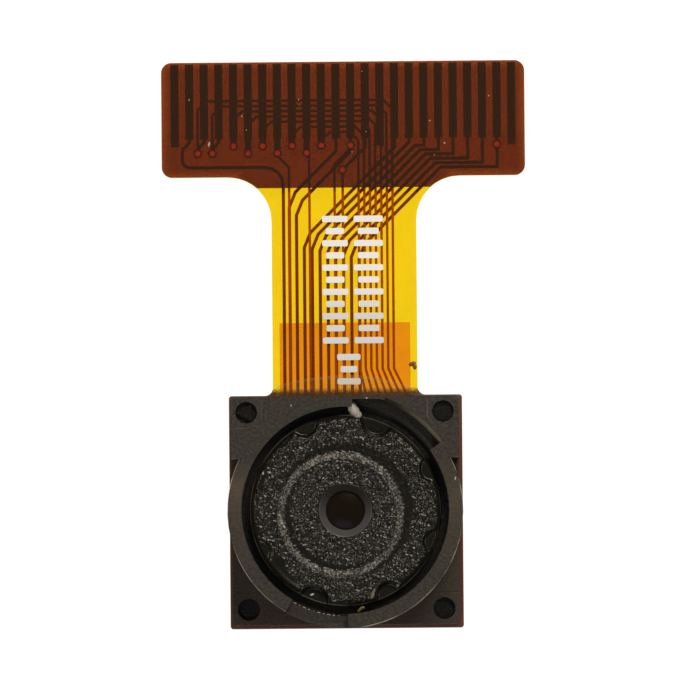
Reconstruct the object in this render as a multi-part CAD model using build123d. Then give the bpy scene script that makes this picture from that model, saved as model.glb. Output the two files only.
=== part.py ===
"""Compact fixed-focus camera module on a T-shaped flexible circuit.

Frame: origin on the optical axis at the rear face of the head, +Y along the neck towards the
contact tongue, +Z out of the lens. Millimetres.
"""

import os
from math import cos, pi, radians, sin

from build123d import *

# Contact tongue
contact_count = 24
contact_pitch = 0.5
contact_width = 0.28
contact_length = 2.57
contact_setback = 0.05
contact_exposed = 2.45
tongue_margin = 0.45
tongue_length = 3.92
tongue_corner_radius = 0.35
tongue_stiffener_length = 4.3

# Neck and head outline
tail_reach = 15.37
neck_width = 4.9
neck_fillet = 1.5
neck_root_fillet = 0.45
head_margin = 0.13
head_corner_cut = 0.1

# Film and copper thicknesses
head_stiffener_thickness = 0.2
coverlay_thickness = 0.03
copper_thickness = 0.02
base_film_thickness = 0.05
tongue_stiffener_thickness = 0.18
patch_thickness = 0.05
patch_length = 2.48
patch_side_margin = 0.22

# Copper routing
front_track_width = 0.085
rear_track_width = 0.11
track_edge_gap = 0.39
track_lead = 0.1
track_bend = 0.3
track_bend_legs = 1
edge_track_bend = 0.7
edge_bend_legs = 4
edge_track_rise = 0.34
small_round_sides = 6
via_diameter = 0.2
via_pad_diameter = 0.34
via_upper_drop = 0.235
via_lower_drop = 0.48
stub_width = 0.22
tail_length = 0.25
via_side_shift = 0.22
neck_via_rise = 0.23
nest_top_gap = 1.31
nest_spacing = 0.18
nest_corner = 0.3
first_diagonal_drop = 0.42
second_diagonal_drop = 0.44
bus_edge_gap = 0.3
bus_finger_drop = 0.25
bus_levels = 6
bus_bend_drop = 2.12
bus_bend_spacing = 0.055
flare_length = 0.9
flare_first = 0.2
flare_spacing = 0.04

# Image sensor
die_end_gap = 0.2
die_side_gap = 0.5
die_thickness = 0.2
ball_side_inset = 0.35
ball_diameter = 0.26
ball_height = 0.15
land_size = 0.28
ball_row_inset = 0.4
ball_row_gap = 0.55
dam_width = 0.6
dam_thickness = 0.04
cover_glass_thickness = 0.4
capacitor_length = 0.6
capacitor_width = 0.3
capacitor_height = 0.3
capacitor_pad_length = 0.18
capacitor_spacing = 0.9

# Lens holder
holder_size = 7.7
holder_corner_cut = 0.12
holder_wall = 0.5
holder_glue_thickness = 0.03
holder_glue_inset = 0.1
window_margin = 0.05
cavity_height = 1.12
filter_shelf_thickness = 0.25
filter_side_gap = 0.75
filter_glue_width = 0.3
filter_thickness = 0.3
filter_glue_thickness = 0.03
turret_radius = 3.98
turret_edge_chamfer = 0.06
rim_width = 0.48
rim_height = 0.8
groove_width = 0.25
thread_clearance = 0.025
shelf_height = 2.4
plateau_edge = 1.78
corner_pad_size = 1.1
corner_pad_radius = 0.57
corner_pad_recess = 0.03
dimple_diameter = 0.75
dimple_sides = 12
dimple_depth = 0.2
dimple_inset = 0.53
index_mark_radius = 0.34
index_mark_height = 0.15
pocket_start = 35.0
pocket_end = 86.0
pocket_wall = 0.1
pocket_rim_gap = 0.05
pocket_depth = 0.6
pocket_bevel = 0.12
pocket_bevel_end = 70.0
notch_start = 239.0
notch_end = 271.0
notch_depth = 0.45

# Lens barrel
barrel_setback = 0.15
barrel_tail_gap = 0.05
barrel_tail = 0.5
barrel_chamfer_width = 0.3
barrel_chamfer_height = 0.15
ridge_radius = 2.1
ridge_width = 0.2
ridge_height = 0.06
scallop_count = 8
scallop_radius = 0.45
scallop_sides = 10
scallop_depth = 0.3
scallop_first_angle = 25.0
aperture_diameter = 1.32
bevel_diameter = 1.75
bevel_depth = 0.25
aperture_land = 0.1

# Lens stack
lens_clearance = 0.01
lens_1_diameter = 3.0
lens_2_diameter = 3.8
lens_3_diameter = 4.8
lens_1_flange = 0.5
lens_2_flange = 0.55
lens_3_flange = 0.75
lens_1_clear_diameter = 1.2
lens_2_clear_diameter = 1.7
lens_3_clear_diameter = 2.0
lens_1_dome = 0.08
lens_2_dish = 0.1
lens_3_dome = 0.06
shield_thickness = 0.05
shield_1_opening = 1.5
shield_2_opening = 2.2
retainer_height = 0.4
retainer_opening = 3.8

# Glue
lock_glue_span_degrees = 11.0
lock_glue_angles = (87.0, 279.5)
lock_glue_fill = 0.85
bead_height = 0.55
bead_width = 4.7
bead_left_toe = 0.42
bead_right_toe = 0.36
bead_crown = 0.41
bead_sections_count = 5

# Heights of the stack, from the rear face forward
rear_coverlay_z = head_stiffener_thickness
rear_copper_z = rear_coverlay_z + coverlay_thickness
base_film_z = rear_copper_z + copper_thickness
front_copper_z = base_film_z + base_film_thickness
front_coverlay_z = front_copper_z + copper_thickness
film_top_z = front_coverlay_z + coverlay_thickness
ball_z = front_copper_z + copper_thickness
die_z = ball_z + ball_height
dam_z = die_z + die_thickness
glass_z = dam_z + dam_thickness
holder_z = film_top_z + holder_glue_thickness
filter_shelf_z = holder_z + cavity_height
thread_z = filter_shelf_z + filter_shelf_thickness
barrel_z = thread_z + barrel_tail_gap
retainer_z = barrel_z + barrel_tail
lens_3_z = retainer_z + retainer_height
shield_2_z = lens_3_z + lens_3_flange
lens_2_z = shield_2_z + shield_thickness
shield_1_z = lens_2_z + lens_2_flange
lens_1_z = shield_1_z + shield_thickness
seat_z = lens_1_z + lens_1_flange
barrel_face_z = seat_z + aperture_land + bevel_depth
head_height = barrel_face_z + barrel_setback
counterbore_z = head_height - rim_height

# Plan positions
tongue_width = (contact_count - 1) * contact_pitch + 2 * tongue_margin
tongue_root = tail_reach - tongue_length
finger_end = tail_reach - contact_setback - contact_length
track_half_span = neck_width / 2 - track_edge_gap
head_size = holder_size + 2 * head_margin
cavity_size = holder_size - 2 * holder_wall
window_size = cavity_size - 2 * window_margin
filter_size = cavity_size - 2 * filter_side_gap
filter_opening = filter_size - 2 * filter_glue_width
counterbore_radius = turret_radius - rim_width
thread_radius = counterbore_radius - groove_width
barrel_radius = thread_radius - thread_clearance
die_width = cavity_size - 2 * die_side_gap
die_length = cavity_size - 2 * die_end_gap
ball_columns = 11
ball_pitch = (die_width - 2 * ball_side_inset) / (ball_columns - 1)
front_row = die_length / 2 - ball_row_inset
rear_row = front_row - ball_row_gap


def contact_x(index):
    """Centre of one contact, counted from the left."""
    return (index - (contact_count - 1) / 2) * contact_pitch


def neck_x(share):
    """A column across the neck: -1 is the left-most track, +1 the mirror of it."""
    return share * track_half_span


def prism(outline, z, height):
    """A flat outline raised to a plate."""
    return extrude(Pos(0, 0, z) * outline, amount=height)


def tee_outline():
    """The film's outline: square head, narrow neck, wide tongue, with filleted inner corners."""
    head = head_size / 2
    neck = neck_width / 2
    tongue = tongue_width / 2
    cut = head - head_corner_cut
    right = [(cut, -head), (head, -cut), (head, cut), (cut, head), (neck, head), (neck, tongue_root)]
    right += [(tongue, tongue_root), (tongue, tail_reach)]
    radii = [0, 0, 0, 0, neck_root_fillet, neck_fillet, tongue_corner_radius, tongue_corner_radius]
    left = [(-x, y) for x, y in reversed(right)]
    return make_face(FilletPolyline(*right, *left, radius=radii + radii[::-1], close=True))


def square(size, cut):
    """A square with its four corners cut off at 45 degrees."""
    return chamfer(Rectangle(size, size).vertices(), length=cut)


def band(low, high):
    """A strip across the whole film between two distances along the neck."""
    return Pos(0, (low + high) / 2) * Rectangle(2 * tongue_width, high - low)


def track(points, width):
    """A copper track: a ribbon of even width along a path, with mitred corners."""
    path = [Vector(*point) for point in points]
    ways = [(b - a).normalized() for a, b in zip(path, path[1:])]
    normals = [Vector(-way.Y, way.X) for way in ways]
    sides = [normals[0]]
    for before, after in zip(normals, normals[1:]):
        sides.append((before + after) * (1 / (1 + before.dot(after))))
    sides.append(normals[-1])
    left = [point + side * (width / 2) for point, side in zip(path, sides)]
    right = [point - side * (width / 2) for point, side in zip(path, sides)]
    return make_face(Polyline(*left, *right[::-1], close=True))


def bent(points, corner, reach, steps):
    """A path with one corner eased into a smooth bend of a few short legs."""
    before, at, after = [Vector(*points[i]) for i in (corner - 1, corner, corner + 1)]
    room = min(reach, (before - at).length / 2, (after - at).length / 2)
    start = at + (before - at).normalized() * room
    end = at + (after - at).normalized() * room
    curve = []
    for i in range(steps + 1):
        t = i / steps
        spot = start * (1 - t) ** 2 + at * (2 * t * (1 - t)) + end * t**2
        curve.append((spot.X, spot.Y))
    return points[:corner] + curve + points[corner + 1:]


def pad(point, diameter):
    """A small pad, drilled hole or solder ball: a few flat sides stand for the round."""
    return Pos(*point) * RegularPolygon(diameter / 2, small_round_sides)


def land(point):
    """A square copper land under one solder ball."""
    return Pos(*point) * Rectangle(land_size, land_size)


# Which contact feeds which track, counted from the left, and where its column stands on the neck
nest_contacts = (10, 8, 6, 5, 4, 3, 2)
upper_row = (4, 6, 8, 10, 12, 22)
shifted_contacts = (2, 3)
stub_contacts = (2, 3, 4, 5, 6, 7, 8, 9, 10)
spare_via_contacts = (12, 22)
idle_contacts = (0, 14, 23)
front_columns = ((7, -0.903), (9, -0.568), (12, -0.15))
neck_via_column = -0.015
nest_columns = (0.248, 0.81)
edge_contact = 1
diagonal_columns = ((11, -0.903), (12, -0.786))
bus_contacts = (15, 16, 17, 18, 19, 20, 21, 22)
bus_columns = (-0.66, 0.248)
feed_contact = 13


def via_point(index):
    """The plated hole under one contact: two staggered rows, two holes moved to the side."""
    shift = via_side_shift if index in shifted_contacts else 0
    drop = via_upper_drop if index in upper_row else via_lower_drop
    return (contact_x(index) - shift, finger_end - drop)


neck_via = (neck_x(neck_via_column), tongue_root + neck_via_rise)
tongue_vias = [via_point(index) for index in stub_contacts + spare_via_contacts] + [neck_via]
ball_x = [(i - (ball_columns - 1) / 2) * ball_pitch for i in range(ball_columns)]
rear_pads = [(x, rear_row) for x in ball_x]
front_pads = [(x, front_row) for x in ball_x]
support_pads = [(x, -front_row) for x in (ball_x[0], 0, ball_x[-1])]


def spread(ends, i, count):
    """Column i of several that are spaced evenly across part of the neck."""
    return neck_x(ends[0] + (ends[1] - ends[0]) * i / (count - 1))


def front_tracks():
    """Tracks on the lens side, left to right, each from its plated hole to its sensor pad."""
    head_edge = head_size / 2
    runs = []
    for index, share in front_columns:
        via = via_point(index)
        x = neck_x(share)
        lead = via[1] - track_lead
        runs.append([via, (via[0], lead), (x, lead - abs(via[0] - x)), (x, head_edge)])
    runs.append([neck_via, (neck_via[0], head_edge)])
    for i, index in enumerate(nest_contacts):
        via = via_point(index)
        level = tail_reach - nest_top_gap - nest_spacing * (len(nest_contacts) - 1 - i)
        x = spread(nest_columns, i, len(nest_contacts))
        run = [via, (via[0], level - nest_corner), (via[0] + nest_corner, level)]
        run += [(x - nest_corner, level), (x, level - nest_corner), (x, head_edge + flare_length)]
        runs.append(run + [(x + flare_first + flare_spacing * i, head_edge)])
    return [run + [end] for run, end in zip(runs, front_pads)]


def rear_tracks():
    """Tracks on the back: an edge track, two short diagonals, and a bus of eight diagonals."""
    edge_x = neck_x(-1)
    edge_start = contact_x(edge_contact)
    edge_column = edge_start - contact_pitch / 2
    edge_level = tongue_root + edge_track_rise
    lead = finger_end - track_lead
    run = [(edge_start, finger_end), (edge_start, lead), (edge_column, lead - contact_pitch / 2)]
    run += [(edge_column, edge_level), (edge_x, edge_level), (edge_x, head_size / 2)]
    for corner in (len(run) - 2, len(run) - 3):
        run = bent(run, corner, edge_track_bend, edge_bend_legs)
    runs = [run]
    diagonal_drops = (first_diagonal_drop, second_diagonal_drop)
    for (index, share), drop in zip(diagonal_columns, diagonal_drops):
        start = contact_x(index)
        x = neck_x(share)
        level = finger_end - drop
        run = [(start, finger_end), (start, level), (x, level - (start - x)), (x, head_size / 2)]
        runs.append(bent(run, len(run) - 2, track_bend, track_bend_legs))
    count = len(bus_contacts)
    lowest = tongue_root + bus_edge_gap
    step = (finger_end - bus_finger_drop - lowest) / (bus_levels - 1)
    for i, index in enumerate(bus_contacts):
        start = contact_x(index)
        x = spread(bus_columns, i, count)
        meet = tongue_root - bus_bend_drop - bus_bend_spacing * i
        level = min(meet + start - x, lowest + step * (count - 1 - i))
        turn = x + level - meet
        run = [(start, finger_end), (start, level)]
        if start - turn > rear_track_width:
            run.append((turn, level))
        run += [(x, meet), (x, head_size / 2)]
        runs.append(bent(run, len(run) - 2, track_bend, track_bend_legs))
    runs = [run + [end] for run, end in zip(runs, rear_pads)]
    feed = contact_x(feed_contact)
    return runs + [[(feed, finger_end), (feed, neck_via[1] + feed - neck_via[0]), neck_via]]


def via_stubs():
    """Short wide rear copper from a contact's end to its plated hole, or to nothing."""
    stubs = []
    for index in stub_contacts:
        x = contact_x(index)
        via = via_point(index)
        if index in shifted_contacts:
            lead = finger_end - track_lead
            run = [(x, finger_end), (x, lead), (via[0], lead - via_side_shift), via]
            stubs.append(track(run, rear_track_width))
        else:
            stubs.append(track([(x, finger_end), via], stub_width))
    for index in idle_contacts:
        x = contact_x(index)
        stubs.append(track([(x, finger_end), (x, finger_end - tail_length)], contact_width))
    return stubs


def ring_sector(inner, outer, start, end):
    """Part of a flat ring between two angles in degrees."""
    reach = 2 * outer
    points = [(0, 0)]
    for angle in (start, (start + end) / 2, end):
        points.append((reach * cos(radians(angle)), reach * sin(radians(angle))))
    wedge = make_face(Polyline(*points, close=True))
    return (Circle(outer) - Circle(inner)) & wedge


def turned(points):
    """A solid of revolution about the optical axis from (radius, height) points."""
    return revolve(make_face(Polyline(*[(r, 0, z) for r, z in points], close=True)), axis=Axis.Z)


# Flexible circuit
tee = tee_outline()
all_vias = tongue_vias + rear_pads
drilled = Sketch() + [pad(point, via_diameter) for point in all_vias]
flex_base_film = prism(tee - drilled, base_film_z, base_film_thickness)
via_barrels = prism(drilled, base_film_z, base_film_thickness)

capacitor_x = (die_width + cavity_size) / 4
capacitor_spots = [(side * capacitor_x, row * capacitor_spacing) for side in (-1, 1) for row in (-1, 1)]
capacitor_pad_y = (capacitor_length - capacitor_pad_length) / 2
front_copper = [track(run, front_track_width) for run in front_tracks()]
front_copper += [pad(point, via_pad_diameter) for point in tongue_vias]
front_copper += [land(point) for point in front_pads + rear_pads + support_pads]
chip_land = Rectangle(capacitor_width, capacitor_pad_length)
for x, y in capacitor_spots:
    for end in (-1, 1):
        front_copper.append(Pos(x, y + end * capacitor_pad_y) * chip_land)
front_traces = prism(Sketch() + front_copper, front_copper_z, copper_thickness)

rear_copper = [track(run, rear_track_width) for run in rear_tracks()] + via_stubs()
rear_copper += [pad(point, via_pad_diameter) for point in tongue_vias]
rear_copper += [land(point) for point in rear_pads]
rear_traces = prism(Sketch() + rear_copper, rear_copper_z, copper_thickness)

finger = Rectangle(contact_width, contact_length)
finger_y = finger_end + contact_length / 2
fingers = [Pos(contact_x(i), finger_y) * finger for i in range(contact_count)]
contact_fingers = prism(Sketch() + fingers, rear_copper_z, copper_thickness)

sensor_window = Rectangle(window_size, window_size)
front_coverlay = prism(tee - sensor_window, front_coverlay_z, coverlay_thickness)
rear_coverlay_edge = tail_reach - contact_exposed
rear_coverlay = prism(tee & band(-head_size, rear_coverlay_edge), rear_coverlay_z, coverlay_thickness)
tongue_sheet = tee & band(tail_reach - tongue_stiffener_length, tail_reach + tongue_margin)
finger_stiffener = prism(tongue_sheet, film_top_z, tongue_stiffener_thickness)
patch_width = neck_width - 2 * patch_side_margin
patch_y = head_size / 2 + patch_length / 2
patch = Pos(0, patch_y) * Rectangle(patch_width, patch_length)
neck_patch = prism(patch, rear_coverlay_z - patch_thickness, patch_thickness)
head_stiffener = prism(square(head_size, head_corner_cut), 0, head_stiffener_thickness)

# Image sensor and the parts beside it
balls = Sketch() + [pad(point, ball_diameter) for point in front_pads + rear_pads + support_pads]
solder_balls = prism(balls, ball_z, ball_height)
die = Rectangle(die_width, die_length)
die_opening = Rectangle(die_width - 2 * dam_width, die_length - 2 * dam_width)
sensor_die = prism(die, die_z, die_thickness)
sensor_dam = prism(die - die_opening, dam_z, dam_thickness)
sensor_cover_glass = prism(die, glass_z, cover_glass_thickness)
capacitor = Rectangle(capacitor_width, capacitor_length)
chips = Sketch() + [Pos(*spot) * capacitor for spot in capacitor_spots]
chip_capacitors = prism(chips, ball_z, capacitor_height)

# Lens holder: square base, turret, plateau over the two upper corners, then the cuts
holder_square = square(holder_size, holder_corner_cut)
cavity = Rectangle(cavity_size, cavity_size)
glue_size = holder_size - 2 * holder_glue_inset
holder_adhesive = prism(Rectangle(glue_size, glue_size) - cavity, film_top_z, holder_glue_thickness)
chamfer_r = turret_radius - turret_edge_chamfer
chamfer_z = head_height - turret_edge_chamfer
turret = turned(
    [(0, holder_z), (turret_radius, holder_z), (turret_radius, chamfer_z), (chamfer_r, head_height)]
    + [(0, head_height)]
)
turret = turret & prism(band(-holder_size, holder_size / 2), 0, head_height)
plateau = holder_square & band(plateau_edge, holder_size)
lens_holder = prism(holder_square, holder_z, shelf_height - holder_z)
lens_holder += turret
lens_holder += prism(plateau, holder_z, head_height - holder_z)
lens_holder -= prism(cavity, holder_z, cavity_height)
lens_holder -= prism(Circle(filter_opening / 2), filter_shelf_z, filter_shelf_thickness)
lens_holder -= prism(Circle(thread_radius), thread_z, head_height - thread_z)
lens_holder -= prism(Circle(counterbore_radius), counterbore_z, rim_height)

corner = holder_size / 2
pad_square = RectangleRounded(2 * corner_pad_size, 2 * corner_pad_size, corner_pad_radius)
for side in (-1, 1):
    for end in (-1, 1):
        top = head_height if end > 0 else shelf_height
        spot = (side * (corner - dimple_inset), end * (corner - dimple_inset))
        corner_pad = Pos(side * corner, end * corner) * pad_square - Circle(turret_radius)
        lens_holder -= prism(corner_pad, top - corner_pad_recess, corner_pad_recess)
        floor = top - corner_pad_recess - dimple_depth
        dimple = Pos(*spot) * RegularPolygon(dimple_diameter / 2, dimple_sides)
        lens_holder -= prism(dimple, floor, dimple_depth)
index_spot = (dimple_inset - corner, corner - dimple_inset)
index_floor = head_height - corner_pad_recess - dimple_depth
index_mark = Pos(*index_spot) * RegularPolygon(index_mark_radius, 3, rotation=180)
lens_holder += prism(index_mark, index_floor, index_mark_height)

pocket_limit = holder_size / 2 - pocket_wall
pocket_radius = turret_radius - pocket_rim_gap
pocket = ring_sector(counterbore_radius - rim_width, pocket_radius, pocket_start, pocket_end)
pocket = pocket & band(-pocket_limit, pocket_limit)
lens_holder -= prism(pocket, head_height - pocket_depth, pocket_depth)
bevel_foot = pocket_radius - pocket_bevel / 6
bevel_z = head_height - pocket_bevel
bevel_top = bevel_foot + pocket_bevel
bevel_cone = turned([(bevel_foot, bevel_z), (bevel_top, head_height), (bevel_foot, head_height)])
bevel_span = ring_sector(counterbore_radius, 2 * turret_radius, pocket_start, pocket_bevel_end)
lens_holder -= bevel_cone & prism(bevel_span, bevel_z, pocket_bevel)
notch = ring_sector(counterbore_radius - rim_width, 2 * turret_radius, notch_start, notch_end)
lens_holder -= prism(notch, head_height - notch_depth, notch_depth)

filter_plate = Rectangle(filter_size, filter_size)
filter_glue_z = filter_shelf_z - filter_glue_thickness
filter_glue = filter_plate - Rectangle(filter_opening, filter_opening)
filter_adhesive = prism(filter_glue, filter_glue_z, filter_glue_thickness)
ir_cut_filter = prism(filter_plate, filter_glue_z - filter_thickness, filter_thickness)


def lens(diameter, base, flange, clear_diameter, sag, side):
    """One lens: a flange with one flat face and one domed (or dished, sag below 0) face.

    side is 1 where the curved face looks out of the barrel and -1 where it looks at the sensor.
    """
    level, back = (base + flange, base) if side > 0 else (base, base + flange)
    radius = diameter / 2
    reach = clear_diameter / 2
    ball = (reach**2 + sag**2) / (2 * sag)
    middle = reach / 2
    drop = ball - (1 if ball > 0 else -1) * (ball**2 - middle**2) ** 0.5
    apex = (0, 0, level + side * sag)
    face = ThreePointArc(apex, (middle, 0, apex[2] - side * drop), (reach, 0, level))
    rim = Polyline((reach, 0, level), (radius, 0, level), (radius, 0, back), (0, 0, back), apex)
    return revolve(make_face(face + rim), axis=Axis.Z)


def ring(outer_diameter, inner_diameter, z, height):
    """A flat ring about the optical axis."""
    return prism(Circle(outer_diameter / 2) - Circle(inner_diameter / 2), z, height)


# Lens stack, from the retainer up to the front wall of the barrel
lens_retainer = ring(lens_3_diameter, retainer_opening, retainer_z, retainer_height)
lens_element_3 = lens(lens_3_diameter, lens_3_z, lens_3_flange, lens_3_clear_diameter, lens_3_dome, -1)
light_shield_2 = ring(lens_2_diameter, shield_2_opening, shield_2_z, shield_thickness)
lens_element_2 = lens(lens_2_diameter, lens_2_z, lens_2_flange, lens_2_clear_diameter, -lens_2_dish, 1)
light_shield_1 = ring(lens_1_diameter, shield_1_opening, shield_1_z, shield_thickness)
lens_element_1 = lens(lens_1_diameter, lens_1_z, lens_1_flange, lens_1_clear_diameter, lens_1_dome, 1)

# Lens barrel: turned form with a stepped bore, a ridge ring and grip scallops
bore_1 = lens_1_diameter / 2 + lens_clearance
bore_2 = lens_2_diameter / 2 + lens_clearance
bore_3 = lens_3_diameter / 2 + lens_clearance
barrel_profile = [(aperture_diameter / 2, seat_z), (aperture_diameter / 2, barrel_face_z - bevel_depth)]
barrel_profile += [(bevel_diameter / 2, barrel_face_z)]
ridge_low = ridge_radius - ridge_width / 2
ridge_high = ridge_radius + ridge_width / 2
ridge_z = barrel_face_z + ridge_height
barrel_profile += [(ridge_low, barrel_face_z), (ridge_radius, ridge_z), (ridge_high, barrel_face_z)]
barrel_profile += [(barrel_radius - barrel_chamfer_width, barrel_face_z)]
barrel_profile += [(barrel_radius, barrel_face_z - barrel_chamfer_height), (barrel_radius, barrel_z)]
barrel_profile += [(bore_3, barrel_z), (bore_3, shield_2_z), (bore_2, shield_2_z)]
barrel_profile += [(bore_2, shield_1_z), (bore_1, shield_1_z), (bore_1, seat_z)]
lens_barrel = turned(barrel_profile)
for i in range(scallop_count):
    turn = Rot(0, 0, scallop_first_angle + 360 / scallop_count * i)
    scallop = turn * Pos(barrel_radius, 0) * RegularPolygon(scallop_radius, scallop_sides)
    lens_barrel -= prism(scallop, barrel_face_z - scallop_depth, scallop_depth + ridge_height)

# Glue that locks the barrel, and the clear bead where the neck leaves the head
lock_glue_height = lock_glue_fill * (barrel_face_z - barrel_chamfer_height - counterbore_z)
glue_half_span = lock_glue_span_degrees / 2
lock_sectors = [
    ring_sector(barrel_radius, counterbore_radius, angle - glue_half_span, angle + glue_half_span)
    for angle in lock_glue_angles
]
focus_lock_glue = prism(Sketch() + lock_sectors, counterbore_z, lock_glue_height)

bead_sections = []
back = holder_size / 2
for i in range(bead_sections_count):
    share = i / (bead_sections_count - 1)
    x = bead_width * (share - 0.5)
    toe = bead_left_toe + (bead_right_toe - bead_left_toe) * share + bead_crown * sin(pi * share)
    corners = [(x, back, film_top_z), (x, back + toe, film_top_z), (x, back, film_top_z + bead_height)]
    bead_sections.append(make_face(Polyline(*corners, close=True)))
neck_epoxy_fillet = loft(bead_sections, ruled=True)

nodes = {
    "flex_base_film": flex_base_film,
    "front_traces": front_traces,
    "rear_traces": rear_traces,
    "contact_fingers": contact_fingers,
    "via_barrels": via_barrels,
    "front_coverlay": front_coverlay,
    "rear_coverlay": rear_coverlay,
    "finger_stiffener": finger_stiffener,
    "neck_patch": neck_patch,
    "head_stiffener": head_stiffener,
    "solder_balls": solder_balls,
    "sensor_die": sensor_die,
    "sensor_dam": sensor_dam,
    "sensor_cover_glass": sensor_cover_glass,
    "chip_capacitors": chip_capacitors,
    "holder_adhesive": holder_adhesive,
    "lens_holder": lens_holder,
    "filter_adhesive": filter_adhesive,
    "ir_cut_filter": ir_cut_filter,
    "lens_barrel": lens_barrel,
    "lens_element_1": lens_element_1,
    "lens_element_2": lens_element_2,
    "lens_element_3": lens_element_3,
    "light_shield_1": light_shield_1,
    "light_shield_2": light_shield_2,
    "lens_retainer": lens_retainer,
    "focus_lock_glue": focus_lock_glue,
    "neck_epoxy_fillet": neck_epoxy_fillet,
}
os.makedirs("parts", exist_ok=True)
for name, solid in nodes.items():
    export_step(solid, f"parts/{name}.step")
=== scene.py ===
# %% [markdown]
# A small camera module on a flexible circuit: a black moulded head with a grained
# lens barrel, an amber neck with two layers of copper, and a brown contact tongue.
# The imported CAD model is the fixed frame, in metres: X runs across the tongue, Y along
# the neck and Z up through the lens. Sizes on the part are written in millimetres.

# %% Load the frame
import math

import bmesh
import bpy
import numpy as np
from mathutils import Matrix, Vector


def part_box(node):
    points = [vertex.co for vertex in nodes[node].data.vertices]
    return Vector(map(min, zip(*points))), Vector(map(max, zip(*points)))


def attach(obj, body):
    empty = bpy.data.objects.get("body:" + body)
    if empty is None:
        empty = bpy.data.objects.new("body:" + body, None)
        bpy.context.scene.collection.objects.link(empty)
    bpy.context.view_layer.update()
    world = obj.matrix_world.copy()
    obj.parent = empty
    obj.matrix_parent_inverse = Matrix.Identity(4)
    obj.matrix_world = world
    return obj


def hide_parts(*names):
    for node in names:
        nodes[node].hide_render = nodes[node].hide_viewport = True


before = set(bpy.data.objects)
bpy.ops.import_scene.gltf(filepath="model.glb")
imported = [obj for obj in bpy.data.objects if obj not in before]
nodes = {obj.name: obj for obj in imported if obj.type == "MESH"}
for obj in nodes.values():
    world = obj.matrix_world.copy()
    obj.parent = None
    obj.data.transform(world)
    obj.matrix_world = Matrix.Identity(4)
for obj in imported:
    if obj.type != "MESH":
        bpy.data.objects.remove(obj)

MM = 0.001
scene = bpy.context.scene
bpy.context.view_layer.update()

# %% [markdown]
# Small helpers carry the whole lesson. One turns the hex colours that people use into
# the linear light that the renderer adds up. One adds a shader node with its settings
# and links, and the short ones after it name the few nodes that come back again and
# again. A material starts on Object coordinates, which are metres in the frame, so the
# size of a pattern in millimetres gives its texture scale.


# %% Helpers for colours and shader nodes
def linear(hex_colour):
    """sRGB hex to linear RGBA: c / 12.92 when dark, else ((c + 0.055) / 1.055) ** 2.4."""
    parts = np.array([int(hex_colour[i:i + 2], 16) for i in (1, 3, 5)]) / 255.0
    light = np.where(parts <= 0.04045, parts / 12.92, ((parts + 0.055) / 1.055) ** 2.4)
    return (*light.tolist(), 1.0)


def add(tree, kind, inputs=(), **settings):
    """Add one node; an input given a socket is linked to it, any other value is set."""
    made = tree.nodes.new(kind)
    for name, value in settings.items():
        setattr(made, name, value)
    for name, value in dict(inputs).items():
        if isinstance(value, bpy.types.NodeSocket):
            tree.links.new(value, made.inputs[name])
        else:
            made.inputs[name].default_value = value
    return made


def maths(tree, operation, *values):
    """Result of one Math node on numbers or sockets."""
    inputs = dict(enumerate(values))
    return add(tree, "ShaderNodeMath", inputs, operation=operation).outputs[0]


def vector_maths(tree, operation, *values):
    """Result of one Vector Math node: a number for LENGTH and DISTANCE, else a vector."""
    result = "Value" if operation in ("LENGTH", "DISTANCE") else "Vector"
    inputs = dict(enumerate(values))
    return add(tree, "ShaderNodeVectorMath", inputs, operation=operation).outputs[result]


def split(tree, vector):
    """The outputs X, Y and Z of a vector."""
    return add(tree, "ShaderNodeSeparateXYZ", {"Vector": vector}).outputs


def ramp(tree, value, start, end, low=0.0, high=1.0):
    """A ramp: low where the value is at start, high where it is at end, level outside."""
    return add(tree, "ShaderNodeMapRange", {
        "Value": value, "From Min": start, "From Max": end, "To Min": low, "To Max": high,
    }).outputs["Result"]


def blend(tree, factor, first, second):
    """Colour mix: the first where the factor is 0, the second where it is 1."""
    return add(tree, "ShaderNodeMix", {
        "Factor": factor, "A": first, "B": second}, data_type="RGBA").outputs["Result"]


def per_mm(size_mm):
    """Texture scale for a pattern of this size: one over the size in metres."""
    return 1.0 / (size_mm * MM)


def noise(tree, place, size_mm, detail=2.0):
    """Soft noise from 0 to 1 with features of this size."""
    return add(tree, "ShaderNodeTexNoise", {
        "Vector": place, "Scale": per_mm(size_mm), "Detail": detail}).outputs["Fac"]


def dust(tree, place, cell_mm, least, reach):
    """1 on sparse flecks, else 0: the distance to a cell's point is below the cell's limit.

    The limit grows from 0 to reach as the cell's random value goes from least to 1.
    """
    cells = add(tree, "ShaderNodeTexVoronoi", {"Vector": place, "Scale": per_mm(cell_mm)})
    limit = ramp(tree, cells.outputs["Color"], least, 1.0, 0.0, reach)
    return maths(tree, "LESS_THAN", cells.outputs["Distance"], limit)


def start_material(name):
    """An empty material: its node tree, its Object coordinates and its output node."""
    material = bpy.data.materials.new(name)
    material.use_nodes = True
    tree = material.node_tree
    tree.nodes.clear()
    place = add(tree, "ShaderNodeTexCoord").outputs["Object"]
    return material, tree, place, add(tree, "ShaderNodeOutputMaterial")


def surface(tree, output, inputs):
    """A principled shader with these inputs, linked to the material's output."""
    shader = add(tree, "ShaderNodeBsdfPrincipled", inputs)
    tree.links.new(shader.outputs["BSDF"], output.inputs["Surface"])
    return shader


print("helpers ready; mid grey is", round(linear("#808080")[0], 4), "in linear light")

# %% [markdown]
# New pieces are grids of points. A closed ring of points for each row, joined row to
# row, makes a tube; joining the last row to the first closes it into a turned body with
# a hole through it. Where rows end, one flat face caps the end. The volume that the
# faces enclose comes out negative when they look inwards, and then they are turned.


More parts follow.
